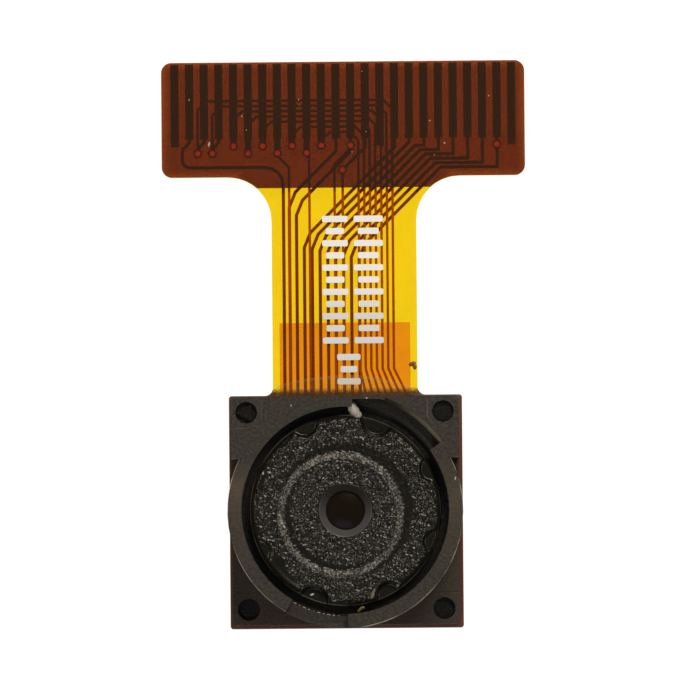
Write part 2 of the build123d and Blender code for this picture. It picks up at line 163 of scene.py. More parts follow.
# %% Helpers that turn grids of points into pieces
def piece_from_rings(name, rings, material, closed_rows=False, smooth_angle=35.0):
    """Join rings of points in mm, shaped (bodies, rows, points, 3), into one piece.

    Point (i, j) is joined to (i, j + 1), (i + 1, j + 1) and (i + 1, j), counted round the
    ring. closed_rows joins the last row to the first; otherwise both ends are capped.
    """
    rings = rings[None] if rings.ndim == 3 else rings
    index = np.arange(rings[..., 0].size).reshape(rings.shape[:3])
    rows = np.concatenate([index, index[:, :1]], axis=1) if closed_rows else index
    beside = np.roll(rows, -1, axis=2)
    quads = np.stack([rows[:, :-1], beside[:, :-1], beside[:, 1:], rows[:, 1:]], axis=-1)
    faces = quads.reshape(-1, 4).tolist()
    if not closed_rows:
        faces += index[:, 0, ::-1].tolist() + index[:, -1].tolist()
    mesh = bpy.data.meshes.new(name)
    mesh.from_pydata((rings.reshape(-1, 3) * MM).tolist(), [], faces)
    body = bmesh.new()
    body.from_mesh(mesh)
    volume = body.calc_volume(signed=True) / MM**3
    body.free()
    if volume < 0:
        mesh.flip_normals()
    mesh.polygons.foreach_set("use_smooth", np.ones(len(faces), bool))
    mesh.set_sharp_from_angle(angle=math.radians(smooth_angle))
    mesh.materials.append(material)
    piece = bpy.data.objects.new(name, mesh)
    scene.collection.objects.link(piece)
    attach(piece, "root")
    print(f"{name}: {len(faces)} faces round {abs(volume):.4f} cubic mm")
    return piece


def box_mm(node):
    """Lowest and highest corner of a CAD node in mm."""
    return tuple(np.array(corner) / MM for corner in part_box(node))


def rise(value, start, end):
    """Smoothstep from 0 at start to 1 at end: t * t * (3 - 2 t)."""
    t = np.clip((value - start) / (end - start), 0, 1)
    return t * t * (3 - 2 * t)


print("head box", [corner.round(2).tolist() for corner in box_mm("lens_holder")])

# %% [markdown]
# The camera looks straight down, as on a light table, from about 40 cm with a long lens.
# The object is turned half a degree in the picture, so the camera is rolled by as much
# the other way, and it stands a degree or so off the lens axis.

# %% Camera
PICTURE_WIDTH = 23.89 * MM
CAMERA_DISTANCE = 405.0 * MM
SENSOR_WIDTH_MM, CLIP_START = 36.0, 0.01
LOOK_AT = np.array([0.087, 5.498, 0.3]) * MM
VIEW_TILT = np.radians([0.4, -1.4])
VIEW_ROLL = math.radians(0.49)

camera_data = bpy.data.cameras.new("camera")
camera_data.sensor_width = SENSOR_WIDTH_MM
camera_data.lens = camera_data.sensor_width * CAMERA_DISTANCE / PICTURE_WIDTH
camera_data.clip_start = CLIP_START
camera = bpy.data.objects.new("camera", camera_data)
camera.location = LOOK_AT + CAMERA_DISTANCE * np.array([*np.tan(VIEW_TILT), 1.0])
camera.rotation_euler = (-VIEW_TILT[1], VIEW_TILT[0], -VIEW_ROLL)
scene.collection.objects.link(camera)
scene.camera = camera
scene.view_settings.view_transform = "Standard"
print("camera lens", round(camera_data.lens), "mm")

# %% [markdown]
# The ground shines softly itself, which is what makes the amber film glow. Four small
# warm lamps stand round the head, because only a fairly small lamp makes single grains
# of the barrel glint; a dim bluish one low in the picture gives the lens its reflection.
# Light crosses up to six film surfaces on its way down and again on its way up, so the
# renderer is allowed enough of them.

# %% Light table and lamps
scene.cycles.transparent_max_bounces = 32
world = bpy.data.worlds.new("soft_room")
world.use_nodes = True
scene.world = world
backdrop = world.node_tree.nodes["Background"].inputs
backdrop["Color"].default_value = linear("#fbfaf7")
backdrop["Strength"].default_value = 0.06
# Direction and height in degrees, width and depth in metres, watts, colour.
LAMPS = {
    "lamp_north": (70.0, 54.0, 0.16, 0.05, 1.05, "#fff4e4"),
    "lamp_south": (256.0, 54.0, 0.16, 0.05, 0.40, "#fff4e4"),
    "lamp_west": (165.0, 48.0, 0.06, 0.06, 0.21, "#fff4e4"),
    "lamp_east": (350.0, 48.0, 0.06, 0.06, 0.18, "#fff4e4"),
    "lamp_lens_glint": (262.0, 68.0, 0.17, 0.08, 0.03, "#c4c8ff"),
}
LAMP_DISTANCE = 0.40
for lamp_name, (compass, height, width, depth, power, colour) in LAMPS.items():
    lamp_data = bpy.data.lights.new(lamp_name, "AREA")
    lamp_data.shape = "RECTANGLE"
    lamp_data.size, lamp_data.size_y, lamp_data.energy = width, depth, power
    lamp_data.color = linear(colour)[:3]
    lamp = bpy.data.objects.new(lamp_name, lamp_data)
    turn, lift = math.radians(compass), math.radians(height)
    flat = LAMP_DISTANCE * math.cos(lift)
    lamp.location = (flat * math.cos(turn), flat * math.sin(turn), LAMP_DISTANCE * math.sin(lift))
    lamp.rotation_euler = (math.pi / 2 - lift, 0.0, turn + math.pi / 2)
    scene.collection.objects.link(lamp)

FLOOR_HALF, FLOOR_DROP = 1.2, 0.02 * MM
floor_mesh = bpy.data.meshes.new("floor")
corners = np.array([[-1, -1, 0], [1, -1, 0], [1, 1, 0], [-1, 1, 0]]) * FLOOR_HALF
floor_mesh.from_pydata((corners - [0, 0, FLOOR_DROP]).tolist(), [], [[0, 1, 2, 3]])
floor = bpy.data.objects.new("floor", floor_mesh)
scene.collection.objects.link(floor)
# Opal sheet: an even white glow with no visible source.
opal_sheet, tree, place, output = start_material("opal light-table sheet")
surface(tree, output, {
    "Base Color": linear("#5f5f5e"), "Roughness": 0.9, "Specular IOR Level": 0.1,
    "Emission Color": linear("#fffefb"), "Emission Strength": 1.0})
floor_mesh.materials.append(opal_sheet)
print("lamps", len(LAMPS), "and a floor", 2 * FLOOR_HALF, "m wide")

# %% [markdown]
# Polyimide film is amber because it swallows blue light. Seen against a bright ground
# it glows yellow, and two layers look deeper. It could be glass with colour inside, but
# a tinted Transparent shader lets the lamps through as well, so what lies below stays
# lit. A small share of each surface is an ordinary dull-glossy skin, and tiny irregular
# flecks of dust lie on it.

# %% See-through films
MOTTLE_MM, WORN_SHARE, SKIN_ROUGHNESS = 0.5, 0.965, 0.4
FILM_DUST = {"cell_mm": 0.7, "least": 0.45, "reach": 0.045}
FILM_DUST_COLOUR, FILM_DUST_SHARE = "#a59a8c", 0.55


def film_material(name, passed, skin_colour, skin_share, rim=None, painted_band=None):
    """Tinted film: light is multiplied by the colour passed at each surface it crosses.

    rim is (low, high, width, arm, colour): the tint goes to that colour within width of
    the sides of the box, and of the lower edge of a T whose arms start at arm = (x, y).
    The last argument is (axis, where it starts, where it is full, share of skin): a band
    along that axis where the skin colour takes over, painting shade on the amber film and a
    highlight on the epoxy.
    """
    material, tree, place, output = start_material(name)
    worn = (*(WORN_SHARE * c for c in passed), 1.0)
    tint = blend(tree, noise(tree, place, MOTTLE_MM, 3.0), (*passed, 1.0), worn)
    if rim:
        low, high, width, arm, rim_colour = rim
        centred = vector_maths(tree, "SUBTRACT", place, (low + high) / 2)
        either = vector_maths(tree, "ABSOLUTE", centred)
        past = split(tree, vector_maths(tree, "SUBTRACT", either, (high - low) / 2))
        sides = maths(tree, "MAXIMUM", past["X"], past["Y"])
        beside = maths(tree, "SUBTRACT", split(tree, either)["X"], arm[0])
        below = maths(tree, "SUBTRACT", arm[1], split(tree, place)["Y"])
        lower = maths(tree, "MINIMUM", beside, below)
        near_rim = ramp(tree, maths(tree, "MAXIMUM", sides, lower), -width, 0.0)
        tint = blend(tree, near_rim, tint, (*rim_colour, 1.0))
    clear = add(tree, "ShaderNodeBsdfTransparent", {"Color": tint})
    fleck = dust(tree, place, **FILM_DUST)
    skin = add(tree, "ShaderNodeBsdfPrincipled", {
        "Base Color": blend(tree, fleck, linear(skin_colour), linear(FILM_DUST_COLOUR)),
        "Roughness": SKIN_ROUGHNESS})
    share = ramp(tree, fleck, 0.0, 1.0, skin_share, FILM_DUST_SHARE)
    # The painted band: along one axis the skin colour takes over, as painted shade or highlight.
    if painted_band:
        axis, start, full, most = painted_band
        band_share = ramp(tree, split(tree, place)[axis], start, full, 0.0, most)
        share = maths(tree, "MAXIMUM", share, band_share)
    both = add(tree, "ShaderNodeMixShader", {
        "Fac": share, 1: clear.outputs["BSDF"], 2: skin.outputs["BSDF"]})
    tree.links.new(both.outputs["Shader"], output.inputs["Surface"])
    return material


TONGUE_START, ARM_START = 11.45, 3.7
TONGUE_RIM, BELOW_TONGUE = 0.26, 2.0
# Amber sheet: glows yellow on the light table. Beside the head a dark brown band is painted,
# partly glue and partly painted shade from the head's wall.
amber_film = film_material(
    "amber polyimide film", (0.975, 0.846, 0.175), "#5a2f18", 0.02,
    painted_band=("Y", 4.24 * MM, 4.06 * MM, 0.9))
# Thin rear sheet: a paler amber.
rear_film = film_material("thin amber cover film", (0.992, 0.945, 0.545), "#8a5a20", 0.015)
# Patch: turns the yellow to orange, because it takes green as well as blue.
patch_film = film_material("orange patch film", (0.974, 0.70, 0.93), "#8a3f0a", 0.02)
# Stiffener: lets a little red through; its cut rim is lighter where light enters.
tongue_low, tongue_high = (np.array(corner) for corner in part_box("finger_stiffener"))
rim_low = tongue_low - np.array([0.0, BELOW_TONGUE, 0.0]) * MM
arm = np.array([ARM_START, TONGUE_START]) * MM
brown_film = film_material(
    "brown stiffener film", (0.40, 0.152, 0.18), "#7a563c", 0.145,
    rim=(rim_low, tongue_high, TONGUE_RIM * MM, arm, (0.54, 0.27, 0.27)))
print("films:", [film.name for film in (amber_film, rear_film, patch_film, brown_film)])

# %% [markdown]
# A flat sheet could be a cut plane with thickness. Here its outline is worked out as
# straight runs and arcs, and a rounded edge profile is carried along it, so that the cut
# edge catches light.


# %% Outline and edge profile of a cut sheet
def rounded_outline(corner_points, radii, steps=9):
    """Closed outline with an arc at each corner, and the outward direction at each point.

    With half the inner angle h, an arc of radius r starts r / tan(h) before its corner
    and its centre is r / sin(h) along the bisector; points between go round by slerp.
    """
    point = np.asarray(corner_points, float)
    radius = np.asarray(radii, float)[:, None]
    back = np.roll(point, 1, axis=0) - point
    ahead = np.roll(point, -1, axis=0) - point
    back /= np.linalg.norm(back, axis=1, keepdims=True)
    ahead /= np.linalg.norm(ahead, axis=1, keepdims=True)
    half = 0.5 * np.arccos(np.clip((back * ahead).sum(1, keepdims=True), -1, 1))
    bisector = (back + ahead) / np.linalg.norm(back + ahead, axis=1, keepdims=True)
    centre = point + bisector * radius / np.sin(half)
    first = point + back * radius / np.tan(half) - centre
    last = point + ahead * radius / np.tan(half) - centre
    sweep = np.pi - 2 * half
    t = np.linspace(0, 1, steps)
    weight_first = (np.sin((1 - t) * sweep) / np.sin(sweep))[..., None]
    weight_last = (np.sin(t * sweep) / np.sin(sweep))[..., None]
    spoke = weight_first * first[:, None] + weight_last * last[:, None]
    inner = np.sign(back[:, 0] * ahead[:, 1] - back[:, 1] * ahead[:, 0])[:, None, None]
    outward = -inner * spoke / np.linalg.norm(spoke, axis=2, keepdims=True)
    return (centre[:, None] + spoke).reshape(-1, 2), outward.reshape(-1, 2)


def sheet_rings(outline, outward, low, high, edge, steps=4):
    """Rings of a flat sheet with its edge rounded by a quarter circle below and above.

    A ring stands edge * (1 - cos a) above low and edge * (1 - sin a) inside the outline,
    with a from 0 to 90 degrees, and the upper rings are the same turned over.
    """
    a = np.linspace(0, np.pi / 2, steps)
    inset = edge * (1 - np.sin(np.concatenate([a, a[::-1]])))
    lower, upper = low + edge * (1 - np.cos(a)), high - edge * (1 - np.cos(a[::-1]))
    flat = outline - inset[:, None, None] * outward
    level = np.broadcast_to(np.concatenate([lower, upper])[:, None, None], (*flat.shape[:2], 1))
    return np.concatenate([flat, level], axis=2)


square = rounded_outline([(0, 0), (2, 0), (2, 2), (0, 2)], [0.5] * 4)[0]
print("a rounded square of", len(square), "points, from", square.min(), "to", square.max())

# %% [markdown]
# The flex is one laminated T: base film and front cover film are glued into a single
# sheet with the front copper inside, and a thinner cover film lies behind. The sheets
# stop a hair short of their neighbours, because two faces in one place would flicker.

# %% Flexible circuit film
base_low, base_high = box_mm("flex_base_film")
rear_low, rear_high = box_mm("rear_coverlay")
head_half, tongue_half = -base_low[1], base_high[0]
NECK_HALF = 2.47
HEAD_CORNER, HEAD_FILLET, NECK_FILLET, TONGUE_CORNER = 0.1, 0.28, 1.5, 0.35
SHEET_GAP, GLUE_LINE, FILM_EDGE = 0.002, 0.01, 0.03
COVER_CORNER, COVER_EDGE = 0.05, 0.01


def tee_outline(top, top_corner):
    """Outline of the T up to height top, counter-clockwise from the head's lower right."""
    right = [(head_half, -head_half), (head_half, head_half), (NECK_HALF, head_half),
             (NECK_HALF, TONGUE_START), (tongue_half, TONGUE_START), (tongue_half, top)]
    radii = [HEAD_CORNER, HEAD_CORNER, HEAD_FILLET, NECK_FILLET, TONGUE_CORNER, top_corner]
    return rounded_outline(right + [(-x, y) for x, y in right[::-1]], radii + radii[::-1])


film_top = box_mm("front_coverlay")[1][2] - SHEET_GAP
film_rings = sheet_rings(
    *tee_outline(base_high[1], TONGUE_CORNER), base_low[2] - GLUE_LINE, film_top, FILM_EDGE)
film_laminate = piece_from_rings("film_laminate", film_rings, amber_film)
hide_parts("flex_base_film", "front_coverlay")
cover_rings = sheet_rings(
    *tee_outline(rear_high[1], COVER_CORNER), rear_low[2] + SHEET_GAP, rear_high[2] - SHEET_GAP,
    COVER_EDGE)
rear_cover_film = piece_from_rings("rear_cover_film", cover_rings, rear_film)
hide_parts("rear_coverlay")

# %% [markdown]
# The black plastics are glass-filled nylon or liquid-crystal polymer: nearly black, a
# touch warm, with a dull satin skin. Mottling and fine moulding texture break up the
# gloss, and a few pale flecks of dust lie on it.

# %% Black moulded plastics
CLOUD_MM, CLOUD_RANGE = 0.1, (0.36, 0.66)
TEXTURE_STRENGTH, SMOOTHER, ROUGHER = 0.7, 0.1, 0.12
PLASTIC_DUST_COLOUR = "#7d776c"


def moulded_plastic(name, dark, pale, roughness, texture_mm, height_mm, dust_mm, gloss=0.45):
    """Satin plastic: dark to pale mottling, fine bump of a given size, sparse pale flecks."""
    material, tree, place, output = start_material(name)
    tone = ramp(tree, noise(tree, place, CLOUD_MM, 5.0), *CLOUD_RANGE)
    body = blend(tree, tone, linear(dark), linear(pale))
    fleck = dust(tree, place, dust_mm, least=0.5, reach=0.07)
    colour = blend(tree, fleck, body, linear(PLASTIC_DUST_COLOUR))
    texture = noise(tree, place, texture_mm)
    rough = ramp(tree, texture, 0.0, 1.0, roughness - SMOOTHER, roughness + ROUGHER)
    bump = add(tree, "ShaderNodeBump", {
        "Height": texture, "Strength": TEXTURE_STRENGTH, "Distance": height_mm * MM})
    shader = surface(tree, output, {
        "Base Color": colour, "Roughness": rough, "Normal": bump.outputs["Normal"],
        "Specular IOR Level": gloss})
    return material, tree, place, colour, rough, shader


# Holder: a warm charcoal that shows its edges by their sheen.
holder_plastic, holder_tree, holder_place, holder_colour, holder_rough, holder_shader = (
    moulded_plastic("moulded black nylon", "#1a1813", "#332f28", 0.5, 0.07, 0.02, 0.5, gloss=0.36))
# Barrel: deeper black and glossier, so that each grain has its own glint.
barrel_plastic, barrel_tree, barrel_place, barrel_colour, _, barrel_shader = moulded_plastic(
    "spark-eroded black polymer", "#0b0b08", "#181710", 0.265, 0.03, 0.003, 1.4, gloss=0.34)
# Spacers and retainer: matt, so that the eye takes them for an empty dark inside.
shield_black = moulded_plastic(
    "matt black spacer film", "#0b0b0a", "#121210", 0.7, 0.04, 0.004, 4.0)[0]
# Bonding resin: a thin dark shiny line between parts.
glue_black = moulded_plastic(
    "black bonding resin", "#141210", "#201d19", 0.35, 0.09, 0.01, 4.0)[0]
print("plastics:", [m.name for m in (holder_plastic, barrel_plastic, shield_black, glue_black)])

# %% [markdown]
# The holder's tones follow its shape, and most are painted light. The sharp outer edge of
# the turret, the wall of its pocket and a fine line round each corner insert of the mould
# carry painted highlights, and the upper ring is paler and warmer towards the neck. The
# ejector dimples, the groove and the recess round it carry painted shade, and the dimples
# and groove are also smoother. The low shelf is painted browner for amber light thrown on
# it from the film. All are found from the position on the part: the distance from the
# axis, from a dimple's centre or from an insert's corner, and the height.

# %% Painted light and shade on the holder
holder_top = box_mm("lens_holder")[1][2]
TURRET_RADIUS, PLATEAU_EDGE = 3.98, 1.78
SHELF_Z, SHELF_BAND = 2.4, 0.1
DIMPLE_PLACE, DIMPLE_RADIUS, DIMPLE_DEPTH = 3.32, 0.375, 0.05
INSERT_EDGE, INSERT_ROUND, INSERT_LINE = 2.79, 0.5, 0.014
GROOVE_MIDDLE, RECESS_MIDDLE, GROOVE_HALF, GROOVE_DEPTH = 3.38, 3.75, 0.19, 0.1
WALL_INSIDE, TOP_SKIN = 3.8, 0.01
RING_HALF, RING_FADE, RING_END = 0.22, (-2.2 * MM, 0.4 * MM), (PLATEAU_EDGE * MM, 0.9 * MM)
POCKET_WALL, POCKET_HALF, POCKET_START = 3.97, 0.075, 0.1
POCKET_FADE = (1.7 * MM, 2.9 * MM)
EDGE_INSET, EDGE_LINE, EDGE_DEPTH = 0.01, 0.016, 0.075
PATCHES_MM, PATCH_RANGE, POLISHED = 1.3, (0.3, 0.7), 0.28


def all_of(tree, *tests):
    """Product of tests: (value in metres, kind of Math node, limit in mm, half width in mm)."""
    product = None
    for value, test, *limits in tests:
        passed = maths(tree, test, value, *(limit * MM for limit in limits))
        product = passed if product is None else maths(tree, "MULTIPLY", product, passed)
    return product


tree = holder_tree
axes = split(tree, holder_place)
in_plan = vector_maths(tree, "MULTIPLY", holder_place, (1, 1, 0))
from_axis = vector_maths(tree, "LENGTH", in_plan)
folded = vector_maths(tree, "ABSOLUTE", in_plan)
from_dimple = vector_maths(tree, "DISTANCE", folded, (DIMPLE_PLACE * MM, DIMPLE_PLACE * MM, 0))
insert_centre = (INSERT_EDGE + INSERT_ROUND) * MM
past_insert = vector_maths(tree, "SUBTRACT", folded, (insert_centre, insert_centre, 0))
from_insert = vector_maths(tree, "LENGTH", vector_maths(tree, "MINIMUM", past_insert, (0, 0, 0)))
patchy = noise(tree, holder_place, PATCHES_MM, 3.0)

# Painted light: the low shelf is painted brown for amber light reflected from the film.
shelf = all_of(tree, (axes["Z"], "COMPARE", SHELF_Z, SHELF_BAND))
# Painted shade: the dimple floors are painted near black for the shade in them.
dimple = all_of(tree, (from_dimple, "LESS_THAN", DIMPLE_RADIUS),
                (axes["Z"], "LESS_THAN", holder_top - DIMPLE_DEPTH))
# Painted shade: the groove and the recess beside it are painted near black.
groove = all_of(tree, (from_axis, "COMPARE", GROOVE_MIDDLE, GROOVE_HALF),
                (axes["Z"], "LESS_THAN", holder_top - GROOVE_DEPTH))
recess = all_of(tree, (from_axis, "COMPARE", RECESS_MIDDLE, GROOVE_HALF),
                (axes["Z"], "LESS_THAN", holder_top - GROOVE_DEPTH),
                (axes["Y"], "COMPARE", 0.0, WALL_INSIDE))
# The upper ring is painted paler and warmer, more so towards the neck.
upper_ring = all_of(tree, (from_axis, "COMPARE", RECESS_MIDDLE, RING_HALF),
                    (axes["Y"], "LESS_THAN", PLATEAU_EDGE),
                    (axes["Z"], "GREATER_THAN", holder_top - TOP_SKIN))
warm_ring_tone = maths(tree, "MULTIPLY", upper_ring, ramp(tree, axes["Y"], *RING_FADE))
warm_ring_tone = maths(tree, "MULTIPLY", warm_ring_tone, ramp(tree, axes["Y"], *RING_END))
# Painted highlight: the pocket's far wall is painted pale where its bevel would catch light.
pocket_wall = all_of(tree, (from_axis, "COMPARE", POCKET_WALL, POCKET_HALF),
                     (axes["Y"], "GREATER_THAN", PLATEAU_EDGE + POCKET_START),
                     (axes["Z"], "LESS_THAN", holder_top - TOP_SKIN))
pocket = maths(tree, "MULTIPLY", pocket_wall, ramp(tree, axes["X"], *POCKET_FADE))
# Painted highlight: a fine pale line round each corner insert stands for its lit step.
insert = all_of(tree, (from_insert, "COMPARE", INSERT_ROUND, INSERT_LINE))
# Painted highlight: a pale line along the turret's outer edge, on its lower half.
turret_edge_highlight = all_of(tree, (from_axis, "COMPARE", TURRET_RADIUS - EDGE_INSET, EDGE_LINE),
                     (axes["Z"], "GREATER_THAN", holder_top - EDGE_DEPTH),
                     (axes["Y"], "LESS_THAN", PLATEAU_EDGE))
# Where, least and most share of the tone, and the tone.
painted_light_and_tones = (
    (shelf, 0.6, 0.6, "#33291f"), (dimple, 0.9, 0.9, "#0a0907"), (groove, 0.8, 0.8, "#070705"),
    (recess, 0.6, 0.6, "#070705"), (warm_ring_tone, 0.15, 0.65, "#4e4232"),
    (pocket, 0.5, 0.9, "#7d776b"), (insert, -0.5, 0.6, "#6a6256"),
    (turret_edge_highlight, -0.5, 1.3, "#b0a48c"))
coat = holder_colour
for where, least, most, tone in painted_light_and_tones:
    amount = ramp(tree, patchy, *PATCH_RANGE, least, most)
    factor = add(tree, "ShaderNodeMath", {
        0: where, 1: amount}, operation="MULTIPLY", use_clamp=True)
    coat = blend(tree, factor.outputs[0], coat, linear(tone))
tree.links.new(coat, holder_shader.inputs["Base Color"])
smooth = maths(tree, "MAXIMUM", dimple, groove)
rough = add(tree, "ShaderNodeMix", {
    "Factor": smooth, "A": holder_rough, "B": POLISHED}, data_type="FLOAT")
tree.links.new(rough.outputs["Result"], holder_shader.inputs["Roughness"])
print("holder wear:", len(painted_light_and_tones), "marks from", len(tree.nodes), "nodes")

# %% [markdown]
# The barrel face was spark-eroded in the mould, which leaves a crust of rounded grains
# about 0.11 mm wide that glint. A bump texture would only fake it, so the grains are real
# heights. They come from white noise blurred to the width of a grain, which is quick to
# do for the whole face at once in frequency space.


# %% Grain heights
def grain_field(extent, spacing, grain, seed):
    """Smooth random heights on a square: white noise times a Gaussian in frequency space.

    Multiplying the spectrum by exp(-2 (pi f s)^2) blurs the noise with a Gaussian of
    width s = grain / 4; the result is divided by its own standard deviation.
    """
    count = int(2 * extent / spacing)
    white = np.random.default_rng(seed).standard_normal((count, count))
    f = np.fft.fftfreq(count, spacing)
    blur = np.exp(-2 * (np.pi * grain / 4) ** 2 * (f[:, None] ** 2 + f ** 2))
    field = np.fft.ifft2(np.fft.fft2(white) * blur).real
    return field / field.std()


def sample(field, extent, x, y):
    """Bilinear reading of a square field whose sides run from -extent to extent."""
    last = field.shape[0] - 1
    u = np.clip((x + extent) / (2 * extent) * last, 0, last - 0.001)
    v = np.clip((y + extent) / (2 * extent) * last, 0, last - 0.001)
    i, j = u.astype(int), v.astype(int)
    a, b = u - i, v - j
    return ((1 - a) * (1 - b) * field[i, j] + a * (1 - b) * field[i + 1, j]
            + (1 - a) * b * field[i, j + 1] + a * b * field[i + 1, j + 1])


FIELD_EXTENT = 3.4
grain = grain_field(FIELD_EXTENT, spacing=0.018, grain=0.108, seed=7)
edge_wander = grain_field(FIELD_EXTENT, spacing=0.05, grain=0.9, seed=3)
ridge_grain = grain_field(FIELD_EXTENT, spacing=0.014, grain=0.1, seed=11)
print("grain field", grain.shape, "from", grain.min().round(2), "to", grain.max().round(2))

# %% [markdown]
# A barrel is turned, so one profile of radius and height says most of it: the stepped
# bore, the cone of the aperture, the flat face, the soft shoulder and the wall. Rows lie
# close together on the face, where the grains need them, and nowhere else.

# %% Barrel profile
barrel_radius = box_mm("lens_barrel")[1][0]
FACE_Z, SEAT_Z, LIP_Z, RIM_Z, SCALLOP_Z, FOOT_Z = 4.95, 4.60, 4.70, 4.80, 4.65, 1.80
APERTURE_RADIUS, LIP_WIDTH, RIM_WIDTH = 0.66, 0.23, 0.3
BORE_STEPS = [
    (2.41, FOOT_Z), (2.41, 3.45), (1.91, 3.45), (1.91, 4.05), (1.51, 4.05), (1.51, SEAT_Z)]
LIP_ROWS, FACE_ROWS, RIM_ROWS, WALL_ROWS, COLUMNS = 7, 96, 16, 5, 720


def barrel_profile():
    """Radius and height of each row, from the bore over the aperture and face to the foot.

    The aperture's lip is a cone, and the shoulder at the rim drops with the square of the
    way across it, so that it starts flat and ends steep.
    """
    lip = np.linspace((APERTURE_RADIUS, LIP_Z), (APERTURE_RADIUS + LIP_WIDTH, FACE_Z), LIP_ROWS)
    edge = barrel_radius - RIM_WIDTH
    face = np.linspace(lip[-1], (edge, FACE_Z), FACE_ROWS)
    across = np.linspace(0, 1, RIM_ROWS)[1:]
    drop = (FACE_Z - RIM_Z) * across ** 2
    shoulder = np.stack([edge + RIM_WIDTH * across, FACE_Z - drop], axis=1)
    wall = np.linspace((barrel_radius, RIM_Z), (barrel_radius, SCALLOP_Z), WALL_ROWS)[1:]
    inside = BORE_STEPS + [(APERTURE_RADIUS, SEAT_Z)]
    return np.vstack([inside, lip[:-1], face, shoulder, wall, [(barrel_radius, FOOT_Z)]])


profile = barrel_profile()
print("barrel profile of", len(profile), "rows out to radius", profile[:, 0].max().round(3))

# %% [markdown]
# The profile goes round the axis as a polar grid, and heights are added to it: the ridge
# ring, which stands a little off centre, a crust of grains that stops short of the rim
# and thins beside the ridge, finer grains on the ridge itself, and eight grip scallops
# cut into the rim, each with a small raised lip.

# %% Grains, ridge and scallops on the barrel face
RIDGE_CENTRE, RIDGE_RADIUS, RIDGE_HALF, RIDGE_HEIGHT = (-0.17, -0.16), 2.01, 0.18, 0.05
GRAIN_HEIGHT, RIDGE_GRAIN_HEIGHT, RIDGE_GRAIN_HALF, BARE_HALF = 0.0116, 0.016, 0.15, 0.14
CRUST_START, CRUST_END, CRUST_FADE, CRUST_WANDER = (0.90, 0.98), 3.08, (-0.1, 0.05), 0.05
WORN_SIDE, WORN_SPREAD, WORN_BACK = math.radians(215.0), math.radians(28.0), 0.3
BAND_START, BAND_END, BAND_LOSS = (1.80, 1.90), (2.22, 2.34), 0.7
SCALLOP_EASE, SCALLOP_LIP, LIP_AWAY, LIP_SPREAD = (0.09, 0.02), 0.022, 0.05, 0.03
TINY = 1e-6
# Direction in degrees, radius and height of the floor.
SCALLOPS = np.array([
    (25.0, 0.42, 4.88), (70.0, 0.55, 4.58), (115.0, 0.45, 4.86), (160.0, 0.40, 4.92),
    (205.0, 0.40, 4.90), (250.0, 0.50, 4.62), (297.0, 0.45, 4.68), (340.0, 0.42, 4.87)])

r, z = profile[:, :1], profile[:, 1:]
angle = np.linspace(0, 2 * np.pi, COLUMNS, endpoint=False)[None]
x, y = r * np.cos(angle), r * np.sin(angle)
on_face = (z >= RIM_Z - TINY) & (r > APERTURE_RADIUS + LIP_WIDTH)
from_ridge = np.abs(np.hypot(x - RIDGE_CENTRE[0], y - RIDGE_CENTRE[1]) - RIDGE_RADIUS)
ridge = RIDGE_HEIGHT * 0.5 * (1 + np.cos(np.pi * np.clip(from_ridge / RIDGE_HALF, 0, 1)))
worn_side = np.exp(-((angle - WORN_SIDE) / WORN_SPREAD) ** 2)
wander = CRUST_WANDER * sample(edge_wander, FIELD_EXTENT, x, y)
crust_edge = CRUST_END - WORN_BACK * worn_side + wander
grainy = rise(r, *CRUST_START) * (1 - rise(r - crust_edge, *CRUST_FADE))
smooth_band = rise(r, *BAND_START) * (1 - rise(r, *BAND_END))
grainy = grainy * (1 - BAND_LOSS * smooth_band) * (1 - np.exp(-(from_ridge / BARE_HALF) ** 2))
crust = GRAIN_HEIGHT * grainy * sample(grain, FIELD_EXTENT, x, y)
on_ridge = RIDGE_GRAIN_HEIGHT * np.exp(-(from_ridge / RIDGE_GRAIN_HALF) ** 4)
crust = crust + on_ridge * sample(ridge_grain, FIELD_EXTENT, x, y)
height = z + np.where(on_face, ridge + crust, 0.0)

turn, size, floor_z = SCALLOPS.T[:, :, None, None]
turn = np.radians(turn)
gap = np.hypot(x - barrel_radius * np.cos(turn), y - barrel_radius * np.sin(turn))
lip = SCALLOP_LIP * np.exp(-((gap - size - LIP_AWAY) / LIP_SPREAD) ** 2)
dip = 1 - rise(gap, size - SCALLOP_EASE[0], size + SCALLOP_EASE[1])
cut = dip * np.clip(height - floor_z, 0, None) - lip * on_face
cut = np.where(z > SCALLOP_Z - TINY, cut, 0.0)
barrel_rings = np.stack([x, y, height - cut.sum(axis=0)], axis=2)
lens_barrel_face = piece_from_rings(
    "lens_barrel_face", barrel_rings, barrel_plastic, closed_rows=True,
    smooth_angle=60.0)
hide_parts("lens_barrel")

# %% [markdown]
# Painted highlights stand in for the glints of what stands proud. The tops of the grains
# on the ridge, the cone round the aperture and the outermost edge of the barrel are
# painted paler than the rest. Distances say where: from the centre of the ridge, or from
# the axis. The cone is palest on the side away from the neck, which faces the north lamp,
# and the ridge is speckled grain by grain.

# %% Painted highlights on the barrel
HIGHLIGHT_PATCH_MM, HIGHLIGHT_PATCH_RANGE, HIGHLIGHT_PATCH_LEAST = 1.1, (0.35, 0.6), 0.6
SPECK_MM, SPECK_RANGE, SPECK_SHARE = 0.062, (0.48, 0.68), (0.12, 1.0)
CONE_FADE, CONE_SHARE = (0.6 * MM, -0.3 * MM), (0.25, 1.0)
tree = barrel_tree
in_plan = vector_maths(tree, "MULTIPLY", barrel_place, (1, 1, 0))
from_axis = vector_maths(tree, "LENGTH", in_plan)
ridge_centre = (RIDGE_CENTRE[0] * MM, RIDGE_CENTRE[1] * MM, 0)
from_centre = vector_maths(tree, "DISTANCE", in_plan, ridge_centre)
